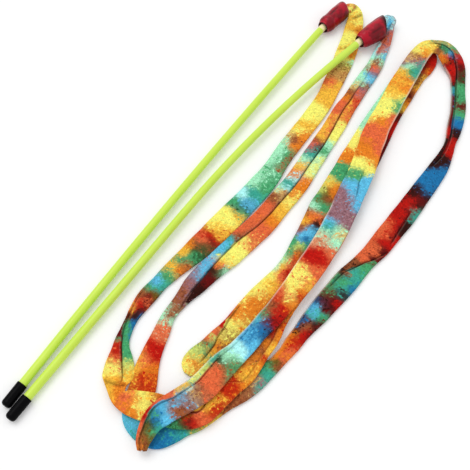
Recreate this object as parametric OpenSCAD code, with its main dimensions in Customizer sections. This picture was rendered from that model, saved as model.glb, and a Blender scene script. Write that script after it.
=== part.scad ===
// A pair of cat teaser wands lying side by side, with their long velour ribbons laid over each other.
// Each wand is a bowed plastic rod with a soft handle cap, a flared sleeve and a ribbon tied in it.
// Units are millimetres. +Y runs along the first wand towards its ribbon, +Z is up, and Z = 0 is the
// surface that the pair lies on. The origin is the middle of the two wands' outline.

/* [Rods] */
// Diameter of both rods
rod_d = 6; // [4:0.5:8]
// First wand: straight run at the handle, from the cap's outer end
first_handle_len = 20; // [19:1:60]
// First wand: length of the bowed run
first_bow_len = 362; // [300:1:380]
// First wand: radius of the bow
first_bow_r = 6390; // [4000:10:9000]
// First wand: straight run at the ribbon end
first_tip_len = 20; // [16:1:40]
// Second wand: straight run at the handle, from the cap's outer end
second_handle_len = 180; // [160:1:200]
// Second wand: length of the bowed run
second_bow_len = 187; // [160:1:190]
// Second wand: radius of the bow
second_bow_r = 1136; // [1000:1:2000]
// Second wand: straight run at the ribbon end
second_tip_len = 42; // [30:1:50]

/* [Handle caps] */
// Length of a handle cap
cap_len = 17; // [14:0.5:18]
// Thickness of the cap's side wall
cap_wall = 0.55; // [0.4:0.05:0.8]
// Thickness of the cap's closed end
cap_end_wall = 1.5; // [1:0.1:3]
// Rounding of the cap's closed end
cap_round = 2.4; // [1:0.1:2.8]
// Running clearance between the cap's bore and the rod, on the radius
cap_play = 0.05; // [0.03:0.01:0.08]

/* [Sleeves] */
// Length of a sleeve, from its neck to its mouth
sleeve_len = 27.5; // [26:0.5:32]
// Wall thickness of the sleeve's body
sleeve_wall = 0.8; // [0.6:0.1:1]
// Wall thickness of the sleeve's narrow neck
neck_wall = 0.5; // [0.4:0.1:1]
// Length of the neck's lip round the rod
neck_lip = 1.5; // [1:0.1:2]
// Open gap between the neck and the rod, on the radius
neck_gap = 0.35; // [0.3:0.05:0.6]
// Diameter of the sleeve at its shoulder
shoulder_d = 12; // [12:0.1:13]
// Distance from the neck to the end of the rounded shoulder
shoulder_at = 4.5; // [3:0.1:5]
// First sleeve: diameter of the mouth
first_mouth_d = 12.8; // [12.4:0.1:14]
// Second sleeve: diameter of the flared mouth
second_mouth_d = 18; // [17:0.1:19]
// Rounding of the mouth's rim
rim_round = 0.8; // [0.4:0.1:1]
// First sleeve: how far it leans from its rod, in degrees
first_lean = 7; // [4:0.5:7]
// Second sleeve: how far it leans from its rod, in degrees
second_lean = 9; // [6:0.5:9]

/* [Inside the sleeves] */
// How far a rod reaches into its sleeve
rod_reach = 9; // [8:0.5:9]
// Thickness of the binding round the rod's end and the ribbon's root
binding_wall = 0.4; // [0.3:0.05:0.5]
// Length of the binding over the rod
binding_over_rod = 3; // [2:0.5:3.5]
// Length of the binding over the ribbon's root
binding_over_root = 3; // [2:0.5:3]
// Distance from the neck to the inner face of the glue plug
plug_at = 15.5; // [14.5:0.5:17]
// Length of the glue plug
plug_len = 7.5; // [5:0.5:8.5]
// Thickness of the glue plug round the ribbon's root
plug_wall = 1.1; // [0.6:0.1:1.2]
// Clearance between pieces that are stuck or tied together, on the radius
seat_gap = 0.05; // [0.02:0.01:0.1]

/* [Ribbons] */
// Full width of a ribbon as it lies with its edges curled in
ribbon_w = 20; // [16:1:22]
// Thickness of a ribbon as it lies
ribbon_t = 3; // [2:0.1:3]
// Gap between the rod's end and the ribbon's root
root_gap = 0.2; // [0.1:0.1:0.5]

/* [Hidden] */

// Smoothness of round pieces, of the bowed runs and of the rounded shoulder
round_fn = 64;
bow_fn = 2880;
shoulder_steps = 8;
dome_steps = 8;
// One overrun for every cut
cut = 1;
// The bowed run reaches into the straight ones by this much, and is a hair thinner to join them cleanly
bow_overlap = 0.5;
bow_step = 0.02;

rod_r = rod_d / 2;
cap_bore_r = rod_r + cap_play;
cap_r = cap_bore_r + cap_wall;
neck_r = rod_r + neck_gap + neck_wall;
shoulder_r = shoulder_d / 2;
binding_bore_r = rod_r + seat_gap;
binding_r = binding_bore_r + binding_wall;

// Where each wand lies beside the ribbons' routes below: the X of its handle cap's outer end, and the
// X and Y of the middle of its sleeve's mouth
first_handle_x = -23.55;
first_mouth_x = -18.6;
first_mouth_y = 211.5;
second_handle_x = -15.75;
second_mouth_x = 20.9;
second_mouth_y = 210.7;

lime = [0.74, 0.88, 0.27];
cap_black = [0.05, 0.05, 0.06];
crimson = [0.63, 0.09, 0.16];
tape_white = [0.9, 0.88, 0.82];
glue_amber = [0.85, 0.7, 0.4];

// A wand's own sizes, in one list that the modules below read by these names
first = [
    first_handle_len, first_bow_len, first_bow_r, first_tip_len,
    first_mouth_d / 2, first_lean, first_handle_x, first_mouth_x, first_mouth_y
];
second = [
    second_handle_len, second_bow_len, second_bow_r, second_tip_len,
    second_mouth_d / 2, second_lean, second_handle_x, second_mouth_x, second_mouth_y
];
function handle_len(w) = w[0];
function bow_len(w) = w[1];
function bow_r(w) = w[2];
function tip_len(w) = w[3];
function mouth_r(w) = w[4];
function lean(w) = w[5];
function handle_x(w) = w[6];
function mouth_x(w) = w[7];
function mouth_y(w) = w[8];

// The rod's axis in the wand's own plane: straight, bowed to the right, then straight again
function bow_turn(w) = bow_len(w) / bow_r(w) * 180 / PI;
function heading(angle) = [sin(angle), cos(angle), 0];
function bow_end(w) = [
    bow_r(w) * (1 - cos(bow_turn(w))),
    handle_len(w) + bow_r(w) * sin(bow_turn(w)),
    0
];
function neck_place(w) = bow_end(w) + (tip_len(w) - rod_reach) * heading(bow_turn(w));
function sleeve_heading(w) = bow_turn(w) + lean(w);
function sleeve_place(w, along) = neck_place(w) + along * heading(sleeve_heading(w));
function rod_place(w, along) = neck_place(w) + along * heading(bow_turn(w));

// A wand lies with its mouth at a set place, turned so that its handle end comes to its own X
function reach(w) = sleeve_place(w, sleeve_len);
function lie_turn(w) = atan2(reach(w).x, reach(w).y)
    - asin((mouth_x(w) - handle_x(w)) / norm(reach(w)));

// It rests on its cap and on its wider mouth, so it tilts a little
function turned(p, a) = [p.x * cos(a) - p.y * sin(a), p.x * sin(a) + p.y * cos(a), p.z];
function tilted(p, a) = [p.x, p.y * cos(a) - p.z * sin(a), p.y * sin(a) + p.z * cos(a)];
function rim_y(w) = turned(sleeve_place(w, sleeve_len - rim_round), lie_turn(w)).y;
function tilt(w) = atan((mouth_r(w) - cap_r) / (rim_y(w) - cap_round));
function lie_z(w) = cap_r * cos(tilt(w)) - cap_round * sin(tilt(w));
function lie_y(w) = mouth_y(w) - turned(reach(w), lie_turn(w)).y * cos(tilt(w));
function lie_place(w) = [handle_x(w), lie_y(w), lie_z(w)];
function laid(w, p) = lie_place(w) + tilted(turned(p, lie_turn(w)), tilt(w));

module lay(w) {
    translate(lie_place(w))
        rotate([tilt(w), 0, 0])
            rotate([0, 0, lie_turn(w)])
                children();
}

// Puts children that stand along +Z on the rod's or the sleeve's axis, at a distance from the neck
module on_rod_end(w, along) {
    translate(rod_place(w, along))
        rotate([-90, 0, -bow_turn(w)])
            children();
}

module on_sleeve(w, along) {
    translate(sleeve_place(w, along))
        rotate([-90, 0, -sleeve_heading(w)])
            children();
}

module rod(w) {
    overlap_turn = bow_overlap / bow_r(w) * 180 / PI;
    lay(w)
        union() {
            translate([0, cap_end_wall + root_gap, 0])
                rotate([-90, 0, 0])
                    cylinder(h = handle_len(w) - cap_end_wall - root_gap, r = rod_r, $fn = round_fn);
            translate([bow_r(w), handle_len(w), 0])
                rotate([0, 0, 180 - bow_turn(w) - overlap_turn])
                    rotate_extrude(angle = bow_turn(w) + overlap_turn * 2, $fn = bow_fn)
                        translate([bow_r(w), 0])
                            circle(r = rod_r - bow_step, $fn = round_fn);
            on_rod_end(w, rod_reach - tip_len(w))
                cylinder(h = tip_len(w), r = rod_r, $fn = round_fn);
        }
}

// A quarter turn of the cap's rounded closed end, from its flat middle out to its side
dome = [
    for (i = [0 : dome_steps])
        let (a = 90 * i / dome_steps)
            [cap_r - cap_round * (1 - sin(a)), cap_round * (1 - cos(a))]
];

module handle_cap(w) {
    lay(w)
        rotate([-90, 0, 0])
            rotate_extrude($fn = round_fn)
                polygon(concat(
                    [[0, 0]],
                    dome,
                    [[cap_r, cap_len], [cap_bore_r, cap_len], [cap_bore_r, cap_end_wall], [0, cap_end_wall]]
                ));
}

// The radius of the sleeve's straight inner wall at a distance from the neck
function inner_wall_r(w, along) = shoulder_r - sleeve_wall
    + (mouth_r(w) - shoulder_r) * (along - shoulder_at) / (sleeve_len - shoulder_at);
// A quarter of an ellipse from the neck's lip out to the shoulder
function shoulder_arc(inner_r, outer_r, from_z, to_z) = [
    for (i = [0 : shoulder_steps])
        let (a = 90 * i / shoulder_steps)
            [inner_r + (outer_r - inner_r) * sin(a), to_z - (to_z - from_z) * cos(a)]
];

module sleeve(w) {
    inside = shoulder_arc(
        neck_r - neck_wall, shoulder_r - sleeve_wall, neck_lip + sleeve_wall - neck_wall, shoulder_at
    );
    outside = shoulder_arc(neck_r, shoulder_r, neck_lip - neck_wall, shoulder_at - neck_wall);
    lay(w)
        on_sleeve(w, 0)
            rotate_extrude($fn = round_fn)
                polygon(concat(
                    [[neck_r, 0]],
                    outside,
                    [[mouth_r(w), sleeve_len - rim_round], [mouth_r(w) - rim_round / 2, sleeve_len]],
                    [[mouth_r(w) - sleeve_wall, sleeve_len]],
                    [for (i = [shoulder_steps : -1 : 0]) inside[i]],
                    [[neck_r - neck_wall, 0]]
                ));
}

module binding(w) {
    lay(w)
        on_rod_end(w, rod_reach - binding_over_rod)
            difference() {
                cylinder(h = binding_over_rod + binding_over_root, r = binding_r, $fn = round_fn);
                translate([0, 0, -cut])
                    cylinder(
                        h = binding_over_rod + binding_over_root + cut * 2,
                        r = binding_bore_r,
                        $fn = round_fn
                    );
            }
}

module glue_plug(w) {
    plug_r_at = inner_wall_r(w, plug_at) - seat_gap;
    plug_r_to = inner_wall_r(w, plug_at + plug_len) - seat_gap;
    hole_r = plug_r_at - plug_wall;
    lay(w)
        on_sleeve(w, plug_at)
            rotate_extrude($fn = round_fn)
                polygon([
                    [hole_r, 0],
                    [plug_r_at, 0],
                    [plug_r_to, plug_len],
                    [hole_r, plug_len]
                ]);
}

// A ribbon's rounded flat section, as shares of its half width and half thickness
section_shares = [
    [1, 0.4], [0.84, 1], [0, 1], [-0.84, 1], [-1, 0.4],
    [-1, -0.4], [-0.84, -1], [0, -1], [0.84, -1], [1, -0.4]
];
sides = len(section_shares);

// The gathered root of a ribbon runs from the rod's end, through the glue plug, to the mouth.
// It starts on the rod's axis and drifts to the sleeve's.
root_width_share = 0.25;
root_drift_shares = [0, 0, 0.75, 0.95, 1];
root_along_shares = [0, 0.2, 0.5, 0.75, 1];
function root(w) = [
    for (i = [0 : len(root_along_shares) - 1])
        let (
            start = rod_reach + root_gap,
            along = start + (sleeve_len - start) * root_along_shares[i],
            on_rod = rod_place(w, along),
            on_axis = sleeve_place(w, along),
            p = laid(w, on_rod + (on_axis - on_rod) * root_drift_shares[i])
        )
            [p.x, p.y, p.z, root_width_share]
];

// Route of the first ribbon past its sleeve: X, Y, height of the middle, share of the full width
first_route = [
    [-17, 216, 6.2, 0.36], [-13, 219, 5.6, 0.42], [-8, 217, 4.4, 0.48], [-5, 211, 3, 0.52],
    [-3, 202, 2.2, 0.58], [-1, 192, 1.8, 0.6], [2, 181, 1.6, 0.72], [5, 169, 1.6, 0.8],
    [10, 157, 1.6, 0.8], [14, 138, 1.6, 0.78], [17, 120, 1.6, 0.77], [18, 100, 1.6, 0.8],
    [18, 81, 1.6, 0.8], [18, 61, 1.6, 0.8], [19, 41, 1.6, 0.8], [18, 21, 1.6, 0.85],
    [16, 2, 1.6, 0.85], [13, -24, 1.6, 0.85], [10, -48, 1.6, 0.82], [7, -69, 1.6, 0.72],
    [5, -84, 1.6, 0.62], [4, -99, 1.6, 0.65], [5, -115, 1.6, 0.45], [7, -127, 1.6, 0.5],
    [10, -135, 1.6, 0.6], [16, -144, 1.6, 0.8], [22, -153, 1.8, 0.8], [27, -160, 3.9, 0.55],
    [33, -164, 5, 0.55], [40, -163, 4.9, 0.8], [49, -160, 4.9, 0.95], [59, -156, 4.9, 0.95],
    [70, -153, 4.9, 0.9], [78, -149, 4.9, 0.8], [83, -144, 4.9, 0.7], [85, -137, 4.9, 0.7],
    [85, -128, 4.9, 0.85], [86, -118, 4.9, 0.9], [89, -106, 4.9, 0.9], [89, -92, 4.9, 0.85],
    [89, -79, 4.9, 0.85], [87, -67, 4.9, 0.85], [86, -53, 4.9, 0.85], [86, -39, 3.6, 0.82],
    [86, -23, 2.2, 0.78], [87, -5, 1.6, 0.78], [87, 13, 1.6, 0.78], [84, 33, 1.6, 0.8],
    [81, 52, 1.6, 0.75], [78, 71, 1.6, 0.7], [75, 100, 1.6, 0.65], [73, 115, 1.6, 0.62],
    [71, 130, 1.6, 0.62], [70, 148, 1.6, 0.62], [69, 168, 1.6, 0.65], [69, 186, 1.6, 0.62],
    [70, 202, 1.6, 0.5], [68, 211, 2.6, 0.32], [62, 212, 4, 0.28], [58, 203, 4.9, 0.35],
    [57, 186, 4.9, 0.5], [59, 168, 4.9, 0.7], [61, 142, 4.9, 0.8], [62, 123, 4.9, 0.9],
    [63, 105, 4.9, 0.9], [64, 89, 4.9, 0.9], [65, 75, 4.9, 0.9], [66, 60, 4.9, 0.9],
    [67, 44, 4.9, 0.9], [67, 30, 4.9, 0.85], [68, 17, 3.2, 0.75], [69, 5, 2.2, 0.7],
    [71, -14, 1.6, 0.65], [71, -30, 1.6, 0.65], [68, -55, 1.6, 0.8], [67, -79, 1.6, 0.9],
    [65, -93, 1.6, 0.9], [63, -105, 1.6, 0.9], [61, -114, 1.6, 0.85], [60, -121, 1.6, 0.7],
    [60, -127, 1.6, 0.45]
];

// Route of the second ribbon past its sleeve, in the same form
second_route = [
    [23, 215, 8, 0.35], [27, 217, 6.4, 0.32], [31, 213, 3.8, 0.28], [31, 206, 2, 0.35],
    [30, 199, 1.6, 0.55], [30, 190, 1.6, 0.65], [30, 176, 1.6, 0.7], [32, 158, 1.6, 0.74],
    [33, 138, 1.6, 0.77], [35, 120, 1.6, 0.8], [37, 100, 1.6, 0.84], [38, 79, 1.6, 0.85],
    [39, 59, 1.6, 0.9], [40, 39, 1.6, 0.95], [39, 18, 1.6, 0.98], [38, -2, 1.6, 1],
    [35, -21, 1.6, 1], [32, -39, 1.6, 0.98], [28, -57, 1.6, 0.9], [26, -72, 1.6, 0.8],
    [25, -88, 1.6, 0.52], [25, -101, 1.6, 0.48], [28, -113, 1.6, 0.58], [31, -126, 1.6, 0.67],
    [35, -138, 1.6, 0.8], [40, -148, 1.6, 0.85], [44, -159, 1.6, 0.9], [49, -167, 1.6, 0.9],
    [57, -171, 1.6, 0.85], [66, -170, 1.6, 0.85], [72, -163, 1.6, 0.8], [76, -155, 1.6, 0.8],
    [81, -147, 1.6, 0.82], [85, -134, 1.6, 0.9], [88, -126, 1.6, 0.9], [93, -115, 1.6, 0.92],
    [96, -105, 1.6, 0.92], [99, -83, 1.6, 0.95], [103, -60, 1.6, 0.95], [107, -37, 1.6, 0.95],
    [110, -15, 1.6, 0.95], [114, 7, 1.6, 0.75], [117, 24, 1.6, 0.8], [118, 37, 1.6, 0.85],
    [120, 60, 1.6, 0.88], [121, 83, 1.6, 0.82], [122, 109, 1.6, 0.75], [121, 126, 2, 0.55],
    [119, 137, 2.4, 0.45], [116, 150, 2, 0.6], [110, 170, 1.8, 0.62], [101, 189, 1.8, 0.6],
    [92, 205, 2.4, 0.68], [82, 214, 5.2, 0.72], [72, 217, 7.8, 0.74], [62, 212, 8.4, 0.74],
    [59, 199, 8.2, 0.75], [60, 179, 8.2, 0.82], [62, 159, 8.2, 0.9], [65, 136, 8.2, 0.9],
    [67, 115, 8.2, 0.95], [72, 92, 8.2, 0.95], [77, 71, 8.2, 0.97], [80, 51, 8.2, 0.98],
    [83, 33, 8.2, 1], [85, 15, 6.8, 1], [86, -7, 5.4, 1], [86, -28, 7.2, 1],
    [84, -54, 8.4, 0.9], [82, -77, 8.2, 0.9], [80, -96, 8.2, 1], [77, -113, 8.2, 0.98],
    [74, -130, 8.2, 0.95], [68, -145, 8.2, 0.93], [63, -156, 8.2, 0.88], [61, -166, 8.4, 0.72],
    [63, -177, 8.2, 0.5], [66, -183, 6.8, 0.3]
];

// The ribbon's direction at a ring, level, and the sideways direction square to it
function unit(v) = v / norm(v);
function ring_way(route, i) = unit(
    let (a = route[max(i - 1, 0)], b = route[min(i + 1, len(route) - 1)])
        [b.x - a.x, b.y - a.y, 0]
);
function ring(route, i) = let (way = ring_way(route, i), side = [way.y, -way.x, 0], p = route[i]) [
    for (s = section_shares)
        [p.x, p.y, p.z] + side * (s.x * ribbon_w / 2 * p[3]) + [0, 0, s.y * ribbon_t / 2]
];

// One closed strip of triangles swept along the route, with a fan at each end
module ribbon(route) {
    rings = len(route);
    last = (rings - 1) * sides;
    points = [for (i = [0 : rings - 1]) each ring(route, i)];
    skin = [
        for (i = [0 : rings - 2])
            for (k = [0 : sides - 1])
                let (a = i * sides + k, b = i * sides + (k + 1) % sides)
                    each [[a, b, b + sides], [a, b + sides, a + sides]]
    ];
    caps = [
        for (k = [1 : sides - 2])
            each [[0, k + 1, k], [last, last + k, last + k + 1]]
    ];
    polyhedron(points = points, faces = concat(skin, caps));
}

module first_rod() {
    color(lime)
        rod(first);
}

module second_rod() {
    color(lime)
        rod(second);
}

module first_handle_cap() {
    color(cap_black)
        handle_cap(first);
}

module second_handle_cap() {
    color(cap_black)
        handle_cap(second);
}

module first_sleeve() {
    color(crimson)
        sleeve(first);
}

module second_sleeve() {
    color(crimson)
        sleeve(second);
}

module first_binding() {
    color(tape_white)
        binding(first);
}

module second_binding() {
    color(tape_white)
        binding(second);
}

module first_glue_plug() {
    color(glue_amber)
        glue_plug(first);
}

module second_glue_plug() {
    color(glue_amber)
        glue_plug(second);
}

module first_ribbon() {
    color("orange")
        ribbon(concat(root(first), first_route));
}

module second_ribbon() {
    color("deepskyblue")
        ribbon(concat(root(second), second_route));
}

first_rod();
first_handle_cap();
first_sleeve();
first_binding();
first_glue_plug();
first_ribbon();
second_rod();
second_handle_cap();
second_sleeve();
second_binding();
second_glue_plug();
second_ribbon();
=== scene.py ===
# %% [markdown]
# # Two ribbon wands for a cat, lying on a pale floor
#
# Each wand is a thin bowed plastic rod with a soft black cap on the handle end. At the other end a
# crimson sleeve holds a long strip of tie-dyed velour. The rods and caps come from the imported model.
# This script gives them their finishes and makes the soft ribbons and the shaped sleeves.

import math

import bmesh
import bpy
import numpy as np
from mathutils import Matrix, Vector, noise


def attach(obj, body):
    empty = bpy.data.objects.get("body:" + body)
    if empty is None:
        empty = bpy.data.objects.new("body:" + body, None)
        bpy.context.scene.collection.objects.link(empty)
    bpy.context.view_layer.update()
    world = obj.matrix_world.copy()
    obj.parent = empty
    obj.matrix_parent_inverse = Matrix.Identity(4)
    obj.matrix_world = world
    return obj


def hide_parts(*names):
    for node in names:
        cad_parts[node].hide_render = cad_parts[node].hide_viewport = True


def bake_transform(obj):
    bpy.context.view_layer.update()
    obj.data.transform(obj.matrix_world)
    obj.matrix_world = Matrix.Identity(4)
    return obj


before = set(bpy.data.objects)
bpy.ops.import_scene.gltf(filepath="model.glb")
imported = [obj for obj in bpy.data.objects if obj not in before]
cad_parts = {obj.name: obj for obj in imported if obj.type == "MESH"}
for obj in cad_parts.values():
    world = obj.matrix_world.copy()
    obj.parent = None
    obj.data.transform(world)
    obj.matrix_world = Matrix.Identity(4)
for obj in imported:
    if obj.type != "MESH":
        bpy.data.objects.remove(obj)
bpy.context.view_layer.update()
MM = 0.001
print("nodes:", sorted(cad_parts))

# %% [markdown]
# ## The view
#
# The camera looks down on the floor at 60 degrees, from the handle side and from the right, so the
# wands run from the lower left to the upper right of the picture. Its lens is worked out from the
# distance at which a 6 mm rod has the width that it has in the picture.

# %% Camera
IMAGE_PX = 470
FOCAL_PX = 750
SENSOR_MM = 36
NEAREST_SEEN_MM = 10
looked_at = Vector((26.4, -22.2, 0)) * MM
eye = Vector((176.8, -246.43, 467.65)) * MM


def put(name, data):
    """A new object in the scene, made of this mesh, light or camera."""
    made = bpy.data.objects.new(name, data)
    bpy.context.collection.objects.link(made)
    return made


camera_data = bpy.data.cameras.new("camera")
camera_data.sensor_width = SENSOR_MM
camera_data.lens = SENSOR_MM * FOCAL_PX / IMAGE_PX
camera_data.clip_start = NEAREST_SEEN_MM * MM
camera = put("camera", camera_data)
camera.location = eye
camera.rotation_euler = (looked_at - eye).to_track_quat("-Z", "Y").to_euler()
bpy.context.scene.camera = camera
bpy.context.scene.view_settings.view_transform = "Standard"
print("lens in mm:", round(camera_data.lens, 2))

# %% [markdown]
# ## The ribbons' routes
#
# A ribbon is a limp cord with a flat section. Each point of its route gives X, Y and the height of
# its middle in millimetres, and its width there as a share of the full 20 mm. A ribbon is narrow
# where it is gathered, twisted or seen on edge. Its root is tied on the rod inside the sleeve, and
# the rest starts at the sleeve's mouth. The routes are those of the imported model.

# %% Routes
FULL_WIDTH = 20 * MM
FIRST_MOUTH = (-18.6, 211.5, 6.4)
SECOND_MOUTH = (20.9, 210.7, 9.0)
TIED = 0.25
FIRST_ROOT = [(-22.4, 194.2, 6.3, TIED), (-21, 203, 6.3, TIED), (*FIRST_MOUTH, TIED)]
SECOND_ROOT = [(13.7, 194.4, 8.8, TIED), (17.4, 203, 8.9, TIED), (*SECOND_MOUTH, TIED)]
FIRST_ROUTE = [
    (-17, 216, 6.2, 0.36), (-13, 219, 5.6, 0.42), (-8, 217, 4.4, 0.48), (-5, 211, 3, 0.52),
    (-3, 202, 2.2, 0.58), (-1, 192, 1.8, 0.6), (2, 181, 1.6, 0.72), (5, 169, 1.6, 0.8),
    (10, 157, 1.6, 0.8), (14, 138, 1.6, 0.78), (17, 120, 1.6, 0.77), (18, 100, 1.6, 0.8),
    (18, 81, 1.6, 0.8), (18, 61, 1.6, 0.8), (19, 41, 1.6, 0.8), (18, 21, 1.6, 0.85),
    (16, 2, 1.6, 0.85), (13, -24, 1.6, 0.85), (10, -48, 1.6, 0.82), (7, -69, 1.6, 0.72),
    (5, -84, 1.6, 0.62), (4, -99, 1.6, 0.65), (5, -115, 1.6, 0.45), (7, -127, 1.6, 0.5),
    (10, -135, 1.6, 0.6), (16, -144, 1.6, 0.8), (22, -153, 1.8, 0.8), (27, -160, 3.9, 0.55),
    (33, -164, 5, 0.55), (40, -163, 4.9, 0.8), (49, -160, 4.9, 0.95), (59, -156, 4.9, 0.95),
    (70, -153, 4.9, 0.9), (78, -149, 4.9, 0.8), (83, -144, 4.9, 0.7), (85, -137, 4.9, 0.7),
    (85, -128, 4.9, 0.85), (86, -118, 4.9, 0.9), (89, -106, 4.9, 0.9), (89, -92, 4.9, 0.85),
    (89, -79, 4.9, 0.85), (87, -67, 4.9, 0.85), (86, -53, 4.9, 0.85), (86, -39, 3.6, 0.82),
    (86, -23, 2.2, 0.78), (87, -5, 1.6, 0.78), (87, 13, 1.6, 0.78), (84, 33, 1.6, 0.8),
    (81, 52, 1.6, 0.75), (78, 71, 1.6, 0.7), (75, 100, 1.6, 0.65), (73, 115, 1.6, 0.62),
    (71, 130, 1.6, 0.62), (70, 148, 1.6, 0.62), (69, 168, 1.6, 0.65), (69, 186, 1.6, 0.62),
    (70, 202, 1.6, 0.5), (68, 211, 2.6, 0.32), (62, 212, 4, 0.28), (58, 203, 4.9, 0.35),
    (57, 186, 4.9, 0.5), (59, 168, 4.9, 0.7), (61, 142, 4.9, 0.8), (62, 123, 4.9, 0.9),
    (63, 105, 4.9, 0.9), (64, 89, 4.9, 0.9), (65, 75, 4.9, 0.9), (66, 60, 4.9, 0.9),
    (67, 44, 4.9, 0.9), (67, 30, 4.9, 0.85), (68, 17, 3.2, 0.75), (69, 5, 2.2, 0.7),
    (71, -14, 1.6, 0.65), (71, -30, 1.6, 0.65), (68, -55, 1.6, 0.8), (67, -79, 1.6, 0.9),
    (65, -93, 1.6, 0.9), (63, -105, 1.6, 0.9), (61, -114, 1.6, 0.85), (60, -121, 1.6, 0.7),
    (60, -127, 1.6, 0.45),
]
SECOND_ROUTE = [
    (23, 215, 8, 0.35), (27, 217, 6.4, 0.32), (31, 213, 3.8, 0.28), (31, 206, 2, 0.35),
    (30, 199, 1.6, 0.55), (30, 190, 1.6, 0.65), (30, 176, 1.6, 0.7), (32, 158, 1.6, 0.74),
    (33, 138, 1.6, 0.77), (35, 120, 1.6, 0.8), (37, 100, 1.6, 0.84), (38, 79, 1.6, 0.85),
    (39, 59, 1.6, 0.9), (40, 39, 1.6, 0.95), (39, 18, 1.6, 0.98), (38, -2, 1.6, 1),
    (35, -21, 1.6, 1), (32, -39, 1.6, 0.98), (28, -57, 1.6, 0.9), (26, -72, 1.6, 0.8),
    (25, -88, 1.6, 0.52), (25, -101, 1.6, 0.48), (28, -113, 1.6, 0.58), (31, -126, 1.6, 0.67),
    (35, -138, 1.6, 0.8), (40, -148, 1.6, 0.85), (44, -159, 1.6, 0.9), (49, -167, 1.6, 0.9),
    (57, -171, 1.6, 0.85), (66, -170, 1.6, 0.85), (72, -163, 1.6, 0.8), (76, -155, 1.6, 0.8),
    (81, -147, 1.6, 0.82), (85, -134, 1.6, 0.9), (88, -126, 1.6, 0.9), (93, -115, 1.6, 0.92),
    (96, -105, 1.6, 0.92), (99, -83, 1.6, 0.95), (103, -60, 1.6, 0.95), (107, -37, 1.6, 0.95),
    (110, -15, 1.6, 0.95), (114, 7, 1.6, 0.75), (117, 24, 1.6, 0.8), (118, 37, 1.6, 0.85),
    (120, 60, 1.6, 0.88), (121, 83, 1.6, 0.82), (122, 109, 1.6, 0.75), (121, 126, 2, 0.55),
    (119, 137, 2.4, 0.45), (116, 150, 2, 0.6), (110, 170, 1.8, 0.62), (101, 189, 1.8, 0.6),
    (92, 205, 2.4, 0.68), (82, 214, 5.2, 0.72), (72, 217, 7.8, 0.74), (62, 212, 8.4, 0.74),
    (59, 199, 8.2, 0.75), (60, 179, 8.2, 0.82), (62, 159, 8.2, 0.9), (65, 136, 8.2, 0.9),
    (67, 115, 8.2, 0.95), (72, 92, 8.2, 0.95), (77, 71, 8.2, 0.97), (80, 51, 8.2, 0.98),
    (83, 33, 8.2, 1), (85, 15, 6.8, 1), (86, -7, 5.4, 1), (86, -28, 7.2, 1),
    (84, -54, 8.4, 0.9), (82, -77, 8.2, 0.9), (80, -96, 8.2, 1), (77, -113, 8.2, 0.98),
    (74, -130, 8.2, 0.95), (68, -145, 8.2, 0.93), (63, -156, 8.2, 0.88), (61, -166, 8.4, 0.72),
    (63, -177, 8.2, 0.5), (66, -183, 6.8, 0.3),
]
print("route points:", len(FIRST_ROUTE), len(SECOND_ROUTE))

# %% [markdown]
# Just outside its sleeve each ribbon is bunched up and turns back sharply. The shown cloth follows
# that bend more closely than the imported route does: its own points stand for the first nine of the
# route, and it joins the route a few centimetres on.

# %% The bunched starts
FIRST_BEND = [
    (-16.5, 217, 6.2, 0.55), (-12.8, 219.6, 5.6, 0.6), (-8.4, 216.6, 4.6, 0.62), (-4.6, 209.5, 3.4, 0.68),
    (-1, 200, 2.5, 0.75), (2.2, 191, 1.9, 0.79), (5, 181, 1.7, 0.8), (8, 169, 1.6, 0.82),
    (10.6, 157, 1.6, 0.8),
]
SECOND_BEND = [
    (19.6, 217.5, 8.8, 0.44), (19.6, 221.8, 8, 0.44), (21.8, 222.4, 7, 0.4), (25, 216.6, 5.4, 0.36),
    (27.9, 208, 3.7, 0.4), (29.6, 198, 2.6, 0.55), (31.2, 187, 2, 0.62), (33, 175, 1.7, 0.64),
    (33.6, 160, 1.6, 0.69), (34, 146, 1.6, 0.7), (34.8, 133, 1.6, 0.73),
]
BENT_POINTS = 9
FIRST_WORN = FIRST_BEND + FIRST_ROUTE[BENT_POINTS:]
SECOND_WORN = SECOND_BEND + SECOND_ROUTE[BENT_POINTS:]
print("points of the shown cloth:", len(FIRST_WORN), len(SECOND_WORN))

# %% [markdown]
# A ribbon is swept along one smooth line, so the route's points are first joined by a Catmull-Rom
# curve, which passes through every one of them, and that curve is walked in even steps.

# %% A smooth line through a route
STEP = 1.3 * MM
ROUTE_PARTS = 10


def smooth_curve(knots, parts):
    """Points of a Catmull-Rom curve through the knots, with so many parts between two knots."""
    knots = np.vstack([2 * knots[0] - knots[1], knots, 2 * knots[-1] - knots[-2]])
    points = []
    for before, here, there, after in zip(knots, knots[1:], knots[2:], knots[3:]):
        for t in np.arange(0, 1, 1 / parts):
            bend = (2 * before - 5 * here + 4 * there - after) * t**2
            twist = (3 * here - before - 3 * there + after) * t**3
            points.append((2 * here + (there - before) * t + bend + twist) / 2)
    return np.array([*points, knots[-2]])


def smooth_line(route):
    """Even steps along a curve through the route: X, Y, Z in metres and the width share."""
    fine = smooth_curve(np.array(route, float) * (MM, MM, MM, 1), ROUTE_PARTS)
    gone = np.concatenate([[0], np.cumsum(np.linalg.norm(np.diff(fine[:, :3], axis=0), axis=1))])
    steps = np.linspace(0, gone[-1], round(gone[-1] / STEP) + 1)
    return np.column_stack([np.interp(steps, gone, column) for column in fine.T]), steps


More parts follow.
